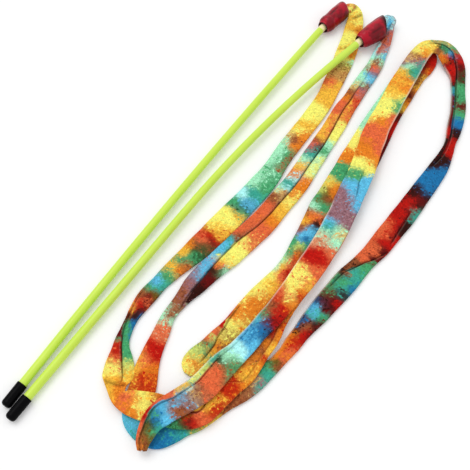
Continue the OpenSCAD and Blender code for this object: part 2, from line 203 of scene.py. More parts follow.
# %% [markdown]
# ## The velour strip
#
# The real ribbon is a strip of velour about 40 mm wide. Its long edges curl round until they nearly
# meet, so it lies like a flat tube 20 mm wide and 3 mm thick with a slit along it. Where the slit
# lies below, the top is smooth. Where it has rolled to the top it shows as a dark line between two
# round lips, and where the strip is twisted that line wanders from one side to the other.
#
# The strip starts as a flat bmesh grid, one row of points for each step of the line. Each row is
# then bent to that section: a crowned top, a round rim on both sides, and the edges that come back
# underneath. Seven rows follow the slit closely, because it is narrow. Each point also gets a
# painted shade: dark in an open slit, a little on its lips, on the underside and on the lower half
# of each rim.
#
# A slit is given by its place in millimetres from the sleeve's mouth, its place across the strip
# from -1 at the left to 1 at the right of someone who walks along it, and how open it is, 0 to 1.
# A fold is a short groove between two such places, with painted shade along it. Where the cloth is
# bunched up or cut round, a strip is also made fuller or narrower than its route says.

# %% The section of a strip
SLIT_ROWS_MM = (-1.7, -1.0, -0.45, 0, 0.45, 1.0, 1.7)
SIDE_ROWS = 8
RIM_ROWS = 5
UNDER_ROWS = 3
HALF_THICK = 1.45 * MM
CROWN = 0.3 * MM
# The darkening values below paint shade: on the lower half of each rim, on the underside, in an open slit and
# on its lips.
RIM_SHARE, RIM_PAINTED_SHADE = 0.45, 0.2
UNDER_SHARE, UNDERSIDE_PAINTED_SHADE = 0.75, 0.7
SLIT_MOST, SLIT_CLEAR = 0.98, 0.1 * MM
SLIT_HALF, SLIT_DEEP, SLIT_PAINTED_SHADE = 0.45 * MM, 1.9 * MM, 0.85
LIP_HALF, LIP_DROP, LIP_PAINTED_SHADE = 1.8 * MM, 0.35 * MM, 0.1
CUT_HALF, CUT_OFF, CUT_PALE = 0.4 * MM, 0.95 * MM, 0.1


def clamp(value, low=0, high=1):
    return max(low, min(high, value))


def ridge(off, half):
    """1 on the middle line of a ridge or groove, falling to nearly 0 at twice its half width."""
    return math.exp(-((off / half) ** 2))


def strip_section(half_width, slit, open_share):
    """Side, height, painted shade and pale edge of each point across a strip, from left to right."""
    rim = min(HALF_THICK, half_width * RIM_SHARE)
    flat = half_width - rim
    middle = clamp(slit, -SLIT_MOST, SLIT_MOST) * flat
    near = [middle + s * MM for s in SLIT_ROWS_MM if abs(middle + s * MM) < flat - SLIT_CLEAR]
    left = np.linspace(-flat, near[0], SIDE_ROWS + 1)[:-1]
    right = np.linspace(near[-1], flat, SIDE_ROWS + 1 + len(SLIT_ROWS_MM) - len(near))[1:]
    points = []
    for side in (*left, *near, *right):
        off = side - middle
        gap, lip = open_share * ridge(off, SLIT_HALF), open_share * ridge(off, LIP_HALF)
        height = HALF_THICK - CROWN * (side / flat) ** 2 - gap * SLIT_DEEP - lip * LIP_DROP
        edge = CUT_PALE * open_share * ridge(off - CUT_OFF, CUT_HALF)
        # Painted shade in the open slit and on its lips.
        points.append((side, height, 1 - SLIT_PAINTED_SHADE * gap - LIP_PAINTED_SHADE * lip, edge))
    low = CROWN - HALF_THICK
    under = np.linspace(1, 0, UNDER_ROWS + 1)[:-1]
    outer = [(flat * (1 - UNDER_SHARE * share), low, UNDERSIDE_PAINTED_SHADE, 0) for share in under]
    for a in np.pi * (np.linspace(0, 1, RIM_ROWS + 1)[:-1] - 0.5):
        # Painted shade on the lower half of the rim, which faces the floor.
        painted_shade = 1 + RIM_PAINTED_SHADE * min(0, math.sin(a))
        outer.append((flat + rim * math.cos(a), -low * math.sin(a), painted_shade, 0))
    return [(-side, *rest) for side, *rest in outer] + points + outer[::-1]


ROWS = len(strip_section(FULL_WIDTH / 2, 0, 1))
print("points across a strip:", ROWS)

# %% Folds and bare edges
FOLD_HALF_MM = 1.1
FOLD_ENDS_MM = 4
BARE_FROM = 0.86
BARE_FADE_MM = 8


def fold_depth(along, side, folds):
    """How deep the deepest fold is at a point of the strip, both places in millimetres."""
    depth = 0
    for (a0, s0), (a1, s1), deep in folds:
        if min(a0, a1) - FOLD_ENDS_MM < along < max(a0, a1) + FOLD_ENDS_MM:
            way = Vector((a1 - a0, s1 - s0))
            share = clamp(Vector((along - a0, side - s0)).dot(way) / way.length_squared)
            off = (Vector((along, side)) - Vector((a0, s0)) - way * share).length
            depth = max(depth, deep * ridge(off, FOLD_HALF_MM))
    return depth


def bare_edge(along, across, rims):
    """How far out on a bare edge a point is, from 0 to 1; across runs from -1 to 1."""
    for start, stop, hand in rims:
        if start < along < stop and across * hand > BARE_FROM:
            fade = min(1, (along - start) / BARE_FADE_MM, (stop - along) / BARE_FADE_MM)
            return (across * hand - BARE_FROM) / (1 - BARE_FROM) * fade
    return 0


print("fold 1 mm beside its line:", round(fold_depth(5, 1, [((0, 0), (9, 0), 1)]), 2))

# %% Lay a strip along its line
# A fold is a groove, and its colour is also darkened there as painted shade.
FOLD_DEEP, FOLD_PAINTED_SHADE = 1.1 * MM, 0.6
RUMPLE_HIGH, RUMPLE_LONG_MM, RUMPLE_WIDE_MM = 0.4 * MM, 6, 4
WAVER, WAVER_LONG_MM, WAVER_ROW = 0.05, 13, 3.7
LOWEST_TOP = 0.95 * MM
LOWEST_UNDER = 0.05 * MM


def make_piece(name, bm):
    """Turn a bmesh's faces round, smooth them, and make a piece of it."""
    bmesh.ops.reverse_faces(bm, faces=bm.faces)
    for face in bm.faces:
        face.smooth = True
    mesh = bpy.data.meshes.new(name)
    bm.to_mesh(mesh)
    bm.free()
    return put(name, mesh)


def read_off(places, table, column):
    """One column of a table, read off at places along the strip."""
    return np.interp(places, [row[0] for row in table], [row[column] for row in table])


def lay_strip(name, line, steps, root, slits, folds, fuller, rims):
    """A strip on its line, and for each point its place along and across it, its painted shade and its edge.

    Places along it count from the sleeve's mouth, which is where the root of so many mm ends. The
    root's length also picks the noise, so the two ribbons aren't rumpled alike."""
    bm = bmesh.new()
    bm.loops.layers.uv.new("UVMap")
    bmesh.ops.create_grid(bm, x_segments=len(line) - 1, y_segments=ROWS - 1, size=1, calc_uvs=True)
    way = np.gradient(line[:, :2], axis=0)
    way /= np.linalg.norm(way, axis=1)[:, None]
    gone = steps / MM - root
    aside = read_off(gone, fuller, 2)
    widths = [
        FULL_WIDTH / 2 * share * (1 + WAVER * noise.noise((a / WAVER_LONG_MM, WAVER_ROW, root)))
        for a, share in zip(gone, line[:, 3] * read_off(gone, fuller, 1))
    ]
    sections = [
        strip_section(*spot) for spot in zip(widths, read_off(gone, slits, 1), read_off(gone, slits, 2))
    ]
    worn = []
    for v in bm.verts:
        i = round((v.co.x + 1) / 2 * (len(line) - 1))
        j = round((v.co.y + 1) / 2 * (ROWS - 1))
        side, height, painted_shade, edge = sections[i][j]
        x, y, z = line[i][:3]
        on_top = UNDER_ROWS + RIM_ROWS <= j < ROWS - UNDER_ROWS - RIM_ROWS
        if on_top:
            fold = fold_depth(gone[i], side / MM, folds)
            rumple = noise.noise((gone[i] / RUMPLE_LONG_MM, side / MM / RUMPLE_WIDE_MM, root))
            height -= abs(rumple) * RUMPLE_HIGH + fold * FOLD_DEEP
            # Painted shade in the fold.
            painted_shade *= 1 - FOLD_PAINTED_SHADE * fold
        if height > 0:
            edge = max(edge, bare_edge(gone[i], side / widths[i], rims))
        lowest = LOWEST_TOP if on_top else LOWEST_UNDER
        out = side + aside[i] * MM
        v.co = (x + way[i][1] * out, y - way[i][0] * out, max(z + height, lowest))
        worn.append((gone[i], side / widths[i], painted_shade, edge))
    return make_piece(name, bm), *np.array(worn).T


# %% [markdown]
# ## Tie-dye
#
# Tie-dye is made by hand: each dye is dabbed on and creeps a little way into the next one. The lists
# below say where each dye was dabbed, by the same two places along and across the strip. A point of
# the cloth takes the dye that is nearest to it, after its own place has been shifted a little by
# noise, so that the borders wander as wet dye does. It also keeps the next nearest dye and how near
# that one is, so that the finish can fleck the one with the other where they meet. Blender's noise
# vectors start from the clock unless they are given a seed, so a seed is set and every run is alike.

# %% The dyer's colours
def srgb(*seen):
    """A colour as it is seen, from 0 to 255, turned into the linear values that Blender mixes."""
    return tuple(c / 255 / 12.92 if c <= 10.3 else ((c / 255 + 0.055) / 1.055) ** 2.4 for c in seen)


DYES = {
    "yellow": srgb(255, 253, 120),
    "amber": srgb(254, 196, 66),
    "orange": srgb(241, 136, 36),
    "coral": srgb(236, 109, 64),
    "red": srgb(195, 22, 13),
    "maroon": srgb(104, 17, 17),
    "umber": srgb(49, 16, 11),
    "brown": srgb(161, 90, 51),
    "tan": srgb(237, 193, 106),
    "mauve": srgb(158, 114, 124),
    "olive": srgb(118, 95, 27),
    "lime": srgb(211, 229, 118),
    "green": srgb(73, 171, 112),
    "pine": srgb(40, 83, 44),
    "mint": srgb(174, 250, 206),
    "teal": srgb(60, 173, 153),
    "cyan": srgb(181, 255, 255),
    "sky": srgb(97, 196, 237),
    "blue": srgb(32, 120, 179),
}
FLECKS = {
    "brown": 0.9, "tan": 0.9, "mauve": 0.7, "olive": 0.6, "coral": 0.45, "orange": 0.5, "amber": 0.45,
    "red": 0.3, "lime": 0.4, "green": 0.4, "teal": 0.3, "mint": 0.3, "sky": 0.15, "blue": 0.2,
}
print("dyes:", len(DYES))

# %% Where the dyes were dabbed
FIRST_DABS = {
    "coral": [
        (7, -0.3), (98, 0.1), (276, 0.2), (338, -0.5), (342, 0.7), (348, 0.9), (385, 0.4), (417, -0.3),
        (464, 0), (465, 0.9), (1025, 0), (1066, 0), (1079, -0.2), (1145, 0.8),
    ],
    "yellow": [
        (8, 0.1), (13, -0.9), (18, -0.1), (27, -0.5), (42, 0), (53, 0.8), (62, 0.7), (68, -0.4), (139, 0.6),
        (154, 0), (250, 0.1), (261, 0.6), (388, 0.5), (425, -0.7), (427, 0), (431, -0.5), (941, 0.8),
        (954, 0.8), (1082, 0.6), (1102, 0.8), (1126, 0.6), (1138, 0.2), (1167, 0.4),
    ],
    "amber": [
        (21, 0.1), (34, 0), (59, 0.7), (66, -0.6), (98, -0.5), (106, -0.3), (148, 0.1), (245, -0.5),
        (264, 0.2), (266, -0.5), (292, 0.5), (308, 0.2), (347, 0.8), (393, -0.6), (402, 0.5), (419, -1),
        (432, -0.8), (467, -0.9), (474, -0.1), (501, 0.3), (512, 0.5), (528, 0.7), (759, 0.6), (784, 0.8),
        (788, 0.8), (792, 0.8), (797, 0.6), (994, 0.6), (1030, 1), (1071, 0.4), (1084, -0.1), (1141, 0.1),
        (1150, 0), (1158, -0.1),
    ],
    "orange": [
        (36, -0.6), (66, -0.6), (156, -0.5), (162, -0.8), (170, -0.5), (285, 0.7), (303, -0.5), (405, 0),
        (423, -0.2), (423, 0.6), (497, 0.6), (511, 0.3), (515, 0.3), (515, 0.6), (519, 0.4), (530, 0.3),
        (537, 0.9), (544, 0.9), (548, 0.8), (554, 0.9), (767, 0.7), (781, 0.9), (806, 0.4), (960, 0.7),
        (999, -0.2), (1026, 0.3), (1059, -0.3), (1105, 0.2), (1122, 0.6), (1145, 0), (1165, 0.1),
    ],
    "lime": [
        (71, -0.7), (74, -0.6), (389, -0.6), (994, 0.9), (1002, 0.9), (1051, -0.1), (1066, 0.4),
        (1143, 0.4), (1156, 0.6), (1160, 0.4),
    ],
    "mint": [
        (71, -0.7), (168, 0.8), (178, 0.6), (214, 0.5), (929, 0.5), (1017, 0.7), (1066, 0.9), (1071, 1),
    ],
    "tan": [
        (73, -0.4), (79, -0.5), (84, -0.5), (88, -0.8), (90, -0.3), (164, 0.7),
    ],
    "olive": [
        (75, -0.6), (78, -0.7), (331, -0.7), (458, -0.2), (1002, 0.4), (1008, 0.3),
    ],
    "brown": [
        (86, -0.5), (90, -0.5), (164, -0.1), (178, -1), (283, 0.1), (301, -0.6), (334, 0.7), (513, 0.2),
        (522, 0.3), (533, 0.2), (551, 0.8), (775, 1), (783, 0.5), (790, 0.4), (793, 0.4), (797, 0.4),
        (800, 0.1), (1006, -0.1), (1022, 0.9), (1036, 0.9), (1055, -0.5), (1138, 0), (1143, -0.3),
        (1149, 0.8),
    ],
    "green": [
        (178, -0.4), (214, -0.2), (237, 0.6), (242, -0.4), (292, -0.3), (299, 0), (313, 0), (328, 0.4),
        (360, 0.1), (381, -0.6), (453, 0.9), (983, 0.2), (1008, 0.7), (1014, -0.1), (1049, -0.5),
        (1049, 0.8), (1059, 0.3), (1150, 0.3), (1155, 0.1),
    ],
    "teal": [
        (223, -0.1), (325, -0.5),
    ],
    "cyan": [
        (229, 0.7),
    ],
    "sky": [
        (235, -0.5), (235, -0.1), (323, 0.4), (1038, -0.4), (1041, 0.3),
    ],
    "pine": [
        (237, -0.5), (237, -0.1), (283, -0.2), (288, 0.1), (290, -0.5), (455, 0.7),
    ],
    "red": [
        (269, -0.4), (271, 0.1), (342, 0.1), (381, 0.3), (434, -0.7), (459, 0.1), (461, 0.6), (474, 0.4),
        (494, 0.4), (497, 0.2), (519, 0.7), (536, 0.3), (546, 0.6), (735, 1), (804, 0.1), (809, 0.5),
        (815, 0.4), (1062, -0.2), (1073, -0.7), (1127, 1),
    ],
    "maroon": [
        (273, -0.3), (335, -0.3), (337, -0.8), (343, -0.5), (353, 0.6), (358, 1), (458, 0.4), (719, 0.8),
        (753, 0.7), (773, 0.6), (807, 0),
    ],
    "umber": [
        (351, -0.4), (1029, -0.4),
    ],
    "blue": [
        (355, -0.8), (1045, -0.3),
    ],
    "mauve": [
        (1040, 1),
    ],
}
SECOND_DABS = {
    "sky": [
        (19, 0.4), (53, -0.6), (76, 0.1), (79, -0.2), (82, -0.7), (273, 1), (299, 0.8), (300, 0.4),
        (419, 0.7), (565, -0.1), (569, -0.4), (838, 0.4), (1008, -0.9), (1018, 0.1), (1026, -0.8),
        (1051, 0.6), (1142, 0.6), (1157, 0.5), (1159, -0.4), (1214, 0.4), (1217, 0.1), (1233, -0.6),
        (1233, 0.6),
    ],
    "cyan": [
        (20, -0.2), (49, 1), (53, 0.3), (55, 0.8), (83, -0.1), (196, 0.1), (208, 0.1), (1168, 0.3),
        (1211, 0.5),
    ],
    "mauve": [
        (22, -0.3), (25, -0.5), (29, 0.2), (51, 0.1), (73, -0.2), (93, -0.1), (94, -0.4), (164, 0.7),
        (302, 0.8), (317, 0.1), (500, 0.5), (878, -0.5), (878, 0.1), (878, 0.5), (884, 0.7), (1024, 0.6),
        (1031, 0.2), (1044, 0.6), (1047, -0.5),
    ],
    "coral": [
        (27, -0.5), (32, 0.3), (49, 0.2), (68, 0), (96, -0.2), (112, -0.6), (113, -0.3), (114, 0.7),
        (141, 0.1), (145, 0.1), (162, 0.7), (231, 0.9), (245, -0.1), (257, -0.2), (260, 1), (262, -0.5),
        (290, -0.2), (349, -0.7), (349, -0.1), (349, 0.5), (376, 0.5), (525, 0.5), (532, 0.5), (627, 0),
        (653, -0.7), (944, -0.8), (957, 0.1), (976, -0.8), (1065, 0.6), (1070, -0.7), (1093, -0.6),
        (1102, -0.4), (1118, 0), (1118, 0.7), (1189, 0.1), (1199, -0.1), (1229, 0.9), (1247, 0.8),
    ],
    "mint": [
        (54, -0.2), (56, 0.3), (58, -0.7), (58, 0.7), (64, 1), (70, 1), (80, 0.9), (82, 0.1), (86, -0.2),
        (90, 0.9), (158, -0.5), (170, -0.5), (176, -0.6), (178, 0.7), (211, 0.7), (290, -1), (345, -0.7),
        (345, 0.5), (886, 0.4), (1055, -0.3), (1061, -0.5), (1063, 0.6), (1065, -0.8), (1178, 0.3),
    ],
    "brown": [
        (59, -0.3), (60, 0), (68, 1), (87, -0.6), (87, -0.2), (101, 0.7), (158, 0.7), (213, 0), (221, 0.8),
        (264, 0.5), (320, 0.3), (341, -0.3), (485, 0.6), (496, 0.5), (520, 0.7), (551, -0.3), (553, 0.1),
        (605, -0.6), (849, -0.5), (874, 0.1), (1133, 0.6), (1135, 0.2), (1135, 0.9), (1138, 0.5),
        (1184, -0.4), (1208, 0.1), (1214, 0.1), (1217, -0.2), (1223, -0.6), (1254, 0.3), (1255, -0.4),
    ],
    "tan": [
        (63, 0.4), (92, 0.6), (213, 0.3), (499, 0.3), (844, 0.8), (876, 0.3), (878, 0.8), (1057, -0.6),
        (1211, 0.3),
    ],
    "orange": [
        (106, 0.6), (194, 0.4), (202, -0.6), (211, -0.4), (237, -0.2), (383, -0.1), (525, -0.6), (529, 0.8),
        (537, -0.6), (544, -0.8), (834, -0.9), (839, -0.5), (866, -0.1), (900, -0.1), (908, -0.3),
        (948, 0.1), (981, 0.3), (989, -0.8), (1110, -0.6), (1121, -0.6), (1257, 0.4),
    ],
    "red": [
        (112, -0.9), (370, -0.1), (386, 0), (387, 0.5), (537, 0), (548, 0.4), (578, 0.8), (640, 1),
        (655, -0.1), (662, 0), (670, 0), (676, -0.1), (683, -0.1), (744, 0.4), (757, -0.9), (812, -0.8),
        (819, -0.4), (826, -0.6), (829, -0.1), (829, 0.6), (834, 0.8), (836, -0.2), (1079, 0.1),
        (1113, -0.7), (1121, 0.4), (1126, -0.3), (1133, 0), (1135, -0.4), (1138, -0.8), (1239, 0.9),
    ],
    "amber": [
        (114, -0.1), (141, 0.6), (145, 0.4), (152, 0.6), (182, 0.7), (229, -0.6), (288, -0.2), (378, 0.8),
        (385, 0.8), (458, 1), (853, -0.2), (859, -0.4), (894, 0.3), (904, 0), (915, -0.1), (920, -0.2),
        (1102, -0.7), (1209, 0.8),
    ],
    "yellow": [
        (147, -0.5), (172, -0.8), (178, -0.6), (213, -0.6), (262, -0.1), (271, -0.5), (284, 0), (856, 0),
        (866, 0.3), (922, -0.5), (929, 0), (940, 0.1), (946, 0.8), (994, -0.4), (996, 0.3), (1100, 0),
        (1105, -0.1), (1113, 0), (1118, -0.1), (1204, 0.9),
    ],
    "green": [
        (164, -0.5), (456, 0.9), (513, 0), (515, -0.3), (565, 0.5), (583, -0.8), (596, 0.1), (618, 0.6),
        (777, 0.3), (792, 0.2), (804, -0.1), (839, 0.8), (842, 0.3), (843, 0.6), (892, -0.2), (924, -0.7),
        (929, -0.7), (1002, 0.2), (1138, 0.7), (1182, -0.5), (1238, 0.5), (1248, -0.6),
    ],
    "maroon": [
        (164, 0), (303, -0.8), (551, 0.9), (560, 0.8), (574, -0.4), (574, 0.3), (576, 0.7), (581, -0.7),
        (581, 0), (624, 0.5), (632, 0.9), (657, 0.4), (665, 0.4), (672, 0.3), (685, 0.2), (766, -0.8),
        (785, 0.4), (792, -0.9), (812, -0.4), (815, 0.2), (824, 0.4), (829, -0.9), (1138, -0.5),
        (1140, -0.2), (1142, 0),
    ],
    "teal": [
        (166, 0), (170, 0.2), (204, 0.3), (270, 0.9), (421, 0.8), (443, 0.8), (501, 0.8), (511, 0.3),
        (565, 0.1), (592, 0.5), (601, 0.2), (674, 0.8), (800, -0.8), (880, -0.7), (890, -0.7), (1055, 0.3),
        (1140, 0.8), (1185, 0.9), (1206, 0.6), (1242, -1),
    ],
    "pine": [
        (292, -0.7), (796, -0.5), (814, 0.5), (840, 0.4), (846, 0), (1182, 0.5), (1242, -0.1),
    ],
    "umber": [
        (295, -0.2), (314, -0.6), (546, -0.8), (551, -0.7), (553, -0.5), (560, 0.5), (574, -0.6),
        (574, 0.4), (589, 0.7), (603, -0.7), (660, 0.7), (681, 0.4), (688, -0.4), (693, 0.8), (695, -0.2),
        (725, -0.4), (746, -0.9), (757, 0.2), (808, -0.7), (831, 0.1), (833, 0.3), (1147, -0.8),
    ],
    "blue": [
        (428, 1), (440, 0.7), (553, -0.7), (572, -0.7), (594, 0.8), (698, 0.4), (703, -0.4), (714, 0.7),
        (768, 0.3), (798, -0.8), (836, 0.3), (1145, 0), (1149, -0.4), (1157, 0.1), (1236, 0.5),
        (1239, -0.2),
    ],
    "olive": [
        (518, -0.1), (520, 0.2), (1244, 0.2), (1251, -0.9), (1252, -0.3),
    ],
    "lime": [
        (1189, 0.8),
    ],
}
print("dabs:", sum(map(len, FIRST_DABS.values())), sum(map(len, SECOND_DABS.values())))

# %% Let the dyes run into the cloth
HALF_ACROSS_MM = 8
WANDER_MM = ((7, 2.4), (2.2, 1.1))
SOFT_MM = 1.3
CREEP_MM = 3
CREEP_MOST = 0.5
BEYOND_SLIT_MM = 8
FLECK_LEAST = 0.1
NOISE_SEED = 4
noise.seed_set(NOISE_SEED)


def write_colour(piece, name, rgb):
    layer = piece.data.attributes.new(name, "FLOAT_COLOR", "POINT")
    layer.data.foreach_set("color", np.column_stack([rgb, np.ones(len(rgb))]).ravel())


def write_value(piece, name, values):
    piece.data.attributes.new(name, "FLOAT", "POINT").data.foreach_set("value", values)


def dye_cloth(piece, along, across, painted_shade, edge, slits, dabs, seed):
    """Write onto every point of a strip its dye, the next dye, how near that is, and its painted shade.

    A dab on the other side of an open slit lies on another part of the cloth, so it counts as far."""
    spots = np.array([(a, c) for places in dabs.values() for a, c in places], float)
    names = [name for name, places in dabs.items() for _ in places]
    colour = np.array([DYES[name] for name in names])
    fleck = np.array([FLECKS.get(name, FLECK_LEAST) for name in names])
    places = [(a, c * HALF_ACROSS_MM) for a, c in zip(along, across)]
    moved = np.array(places)
    for grain, reach in WANDER_MM:
        shift = np.array([noise.noise_vector((a / grain, c / grain, seed)) for a, c in places])
        moved = moved + reach * shift[:, :2]
    far = np.hypot(*(moved[:, None] - spots[None] * (1, HALF_ACROSS_MM)).transpose(2, 0, 1))
    slit, opened = read_off(along, slits, 1), read_off(along, slits, 2)
    other_side = (across > slit)[:, None] != (spots[None, :, 1] > slit[:, None])
    far += BEYOND_SLIT_MM * opened[:, None] * other_side
    nearest = far.min(axis=1)
    pull = np.exp((nearest[:, None] - far) / SOFT_MM)
    pull /= pull.sum(axis=1)[:, None]
    same = (colour[far.argmin(axis=1)][:, None] == colour[None]).all(axis=2)
    far = np.where(same, np.inf, far)
    write_colour(piece, "dye", pull @ colour)
    write_colour(piece, "next_dye", colour[far.argmin(axis=1)])
    write_value(piece, "creep", CREEP_MOST * np.exp((nearest - far.min(axis=1)) / CREEP_MM))
    write_value(piece, "fleck", pull @ fleck)
    # The painted shade of slits, lips, folds, underside and lower rims.
    write_value(piece, "painted_shade", painted_shade)
    write_value(piece, "edge", edge)


print("a dye creeps about", CREEP_MM, "mm and its border wanders up to", sum(w[1] for w in WANDER_MM), "mm")

# %% [markdown]
# ## Finishes
#
# Each finish is one node tree. A small class wraps a socket, so that shader maths can be written as
# an ordinary sum, and one method adds any other node with its settings and its inputs. The white
# room round the object is a node tree too, and is written with the same class.

# %% Shader maths and nodes
class Wire:
    """One output of a shader node. Sums and products of wires add their own Math nodes."""

    def __init__(self, finish, socket):
        self.finish = finish
        self.socket = socket

    def combine(self, operation, first, second):
        return self.finish.node("ShaderNodeMath", {"operation": operation}, {0: first, 1: second})[0]

    def __add__(self, other):
        return self.combine("ADD", self, other)

    __radd__ = __add__

    def __mul__(self, other):
        return self.combine("MULTIPLY", self, other)

    __rmul__ = __mul__

    def __sub__(self, other):
        return self.combine("SUBTRACT", self, other)

    def __rsub__(self, other):
        return self.combine("SUBTRACT", other, self)

    def larger(self, other):
        return self.combine("MAXIMUM", self, other)


OBJECT_PLACE = 3
COLOUR, NUMBER = 0, 2
CAMERA_RAY, GLOSSY_RAY, TRANSMISSION_RAY = 0, 3, 6


class Finish:
    """A new material, or a new world, and its node tree."""

    def __init__(self, name, kind="materials"):
        self.owner = getattr(bpy.data, kind).new(name)
        self.owner.use_nodes = True
        self.tree = self.owner.node_tree
        self.tree.nodes.clear()

    def node(self, kind, settings=None, values=None):
        """Add a node, set it up, feed its inputs, and give back its outputs as wires."""
        made = self.tree.nodes.new(kind)
        for key, value in (settings or {}).items():
            setattr(made, key, value)
        for key, value in (values or {}).items():
            if isinstance(value, Wire):
                self.tree.links.new(value.socket, made.inputs[key])
            else:
                made.inputs[key].default_value = value
        return [Wire(self, socket) for socket in made.outputs]

    def place(self):
        """The point's own place in the object, in metres."""
        return self.node("ShaderNodeTexCoord")[OBJECT_PLACE]

    def attribute(self, name, output):
        """What a mesh keeps on its points under this name, as a COLOUR or a NUMBER."""
        return self.node("ShaderNodeAttribute", {"attribute_name": name})[output]

    def grain(self, per_mm, detail=2, rough=0.6):
        """Noise with so many grains to a millimetre, from 0 to 1."""
        values = {"Vector": self.place(), "Scale": per_mm / MM, "Detail": detail, "Roughness": rough}
        return self.node("ShaderNodeTexNoise", None, values)[0]

    def step(self, value, low, high):
        """0 below low and 1 above high, with a smooth rise between."""
        settings = {"interpolation_type": "SMOOTHSTEP"}
        values = {"Value": value, "From Min": low, "From Max": high}
        return self.node("ShaderNodeMapRange", settings, values)[0]

    def mix(self, blend, factor, first, second):
        """Two colours mixed."""
        settings = {"data_type": "RGBA", "blend_type": blend}
        return self.node("ShaderNodeMix", settings, {0: factor, 6: first, 7: second})[2]

    def bump(self, height, strength, deep_mm):
        """A bumped normal."""
        values = {"Strength": strength, "Distance": deep_mm * MM, "Height": height}
        return self.node("ShaderNodeBump", None, values)[0]

    def surface(self, values):
        """End the tree in one Principled surface."""
        skin = self.node("ShaderNodeBsdfPrincipled", None, values)[0]
        self.node("ShaderNodeOutputMaterial", None, {"Surface": skin})
        return self.owner


def paint(*seen):
    """A colour as it is seen, from 0 to 255, for a node's colour socket."""
    return (*srgb(*seen), 1)


print("middle grey as a node takes it:", [round(c, 3) for c in paint(128, 128, 128)])

# %% [markdown]
# Velour has a short dense pile. Seen close it is a speckle of lit tips and shaded gaps, about a
# millimetre wide, which the finish paints as random specks of painted highlight and painted shade.
# Where two dyes meet, specks of the one stand in the other, and the browner dyes are flecked all
# over. The pile also lights up where it is seen edge on, which is what Sheen is for. The cut edges
# along the slit show the pale knitted backing. The slits, folds, underside and lower rims get
# painted shade, near black in an open slit.

# %% Velour
FLECK_TINT = (0.42, 0.2, 0.16, 1)
# The next two tints paint shade into the pile's gaps and highlights onto its tips.
GAP_SHADE_TINT = (0.4, 0.34, 0.34, 1)
TIP_HIGHLIGHT_TINT = (1.3, 1.3, 1.25, 1)
BRUSHED_TINT = (0.75, 0.68, 0.68, 1)
BARE_TINT = (0.95, 0.86, 0.72, 1)
# Near black, for the painted shade in slits, folds, the underside and lower rims.
PAINTED_SHADE_TINT = (0.04, 0.02, 0.02, 1)
BACKING_TINT, LOOP_TINT = (0.92, 0.9, 0.84, 1), (0.7, 0.68, 0.62, 1)


def make_velour():
    """Dyed pile with painted shade and highlights, from the dyes, painted shade and edge kept on the cloth's
    points.
    """
    velour = Finish("velour")
    tips = velour.grain(0.6, 2, 0.7)
    clumps = velour.grain(0.4, 3, 0.75)
    nap = velour.grain(0.07, 2, 0.5)
    chance = 0.5 + 0.3 * (0.5 - velour.attribute("creep", NUMBER))
    speck = velour.step(clumps, chance - 0.05, chance + 0.07)
    body = velour.mix("MIX", speck, velour.attribute("dye", COLOUR), velour.attribute("next_dye", COLOUR))
    flecks = velour.step(tips, 0.52, 0.62) * velour.attribute("fleck", NUMBER)
    body = velour.mix("MULTIPLY", flecks * 0.7, body, FLECK_TINT)
    # Random specks of painted shade in the gaps of the pile, then painted highlights on its tips.
    gap_shade = 1 - velour.step(clumps, 0.36, 0.5)
    body = velour.mix("MULTIPLY", gap_shade * 0.38, body, GAP_SHADE_TINT)
    lit = velour.step(velour.grain(0.7, 2, 0.6), 0.52, 0.66)
    body = velour.mix("MULTIPLY", lit, body, TIP_HIGHLIGHT_TINT)
    body = velour.mix("MULTIPLY", (1 - nap) * 0.35, body, BRUSHED_TINT)
    body = velour.mix("MIX", velour.attribute("edge", NUMBER) * 0.6, body, BARE_TINT)
    # Painted shade: the colour is pulled towards near black as far as each point's painted shade goes.
    body = velour.mix("MULTIPLY", 1 - velour.attribute("painted_shade", NUMBER), body, PAINTED_SHADE_TINT)
    return velour.surface({
        "Base Color": body,
        "Roughness": 0.9,
        "Specular IOR Level": 0.05,
        "Sheen Weight": 0.08,
        "Sheen Roughness": 0.5,
        "Sheen Tint": (1, 0.97, 0.92, 1),
        "Normal": velour.bump(tips + 0.5 * clumps, 0.5, 0.5),
    })


def make_backing():
    """The paler knitted side, which the dyes have only partly reached."""
    backing = Finish("knitted backing")
    loops = backing.grain(2.2, 1, 0.5)
    pale = backing.mix("MIX", 0.55, backing.attribute("dye", COLOUR), BACKING_TINT)
    return backing.surface({
        "Base Color": backing.mix("MULTIPLY", loops * 0.3, pale, LOOP_TINT),
        "Roughness": 0.9,
        "Specular IOR Level": 0.1,
        "Normal": backing.bump(loops, 0.3, 0.2),
    })


velour = make_velour()
backing = make_backing()
print("nodes in the velour and its backing:", len(velour.node_tree.nodes), len(backing.node_tree.nodes))

# %% [markdown]
# ## The two ribbons as they lie
#
# The slits follow the real rolls and twists. Where the slit goes from one side to the other the
# strip is twisted, and where it is 0 open the strip has its smooth side up. The folds are where the
# first ribbon is bunched up at its sleeve, and where it is folded over flat.

